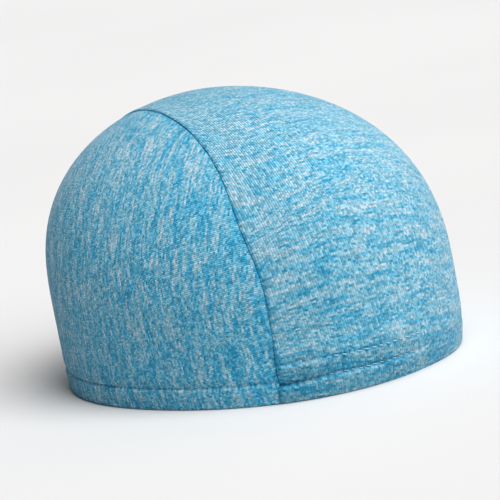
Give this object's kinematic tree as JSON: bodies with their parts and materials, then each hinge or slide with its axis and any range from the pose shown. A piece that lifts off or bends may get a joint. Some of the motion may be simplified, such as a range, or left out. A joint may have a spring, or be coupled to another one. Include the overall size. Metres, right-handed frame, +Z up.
{
  "type": "cycling skull cap",
  "caption": "Close-fitting stretch knit cycling skull cap of melange jersey, with a tongue-shaped front panel, side panels and a turned, stitched hem.",
  "frame": {"origin": "centre of the hem on the surface that the cap stands on", "axes": "+Z up to the crown, the forehead faces -Y and the wearer's left side is +X"},
  "size_m": [0.154, 0.1929, 0.1229],
  "materials": {
    "melange_knit": "heather light blue stretch jersey, matt"
  },
  "bodies": {
    "root": {"front_panel": "melange_knit", "side_panel_left": "melange_knit", "side_panel_right": "melange_knit"}
  },
  "joints": []
}
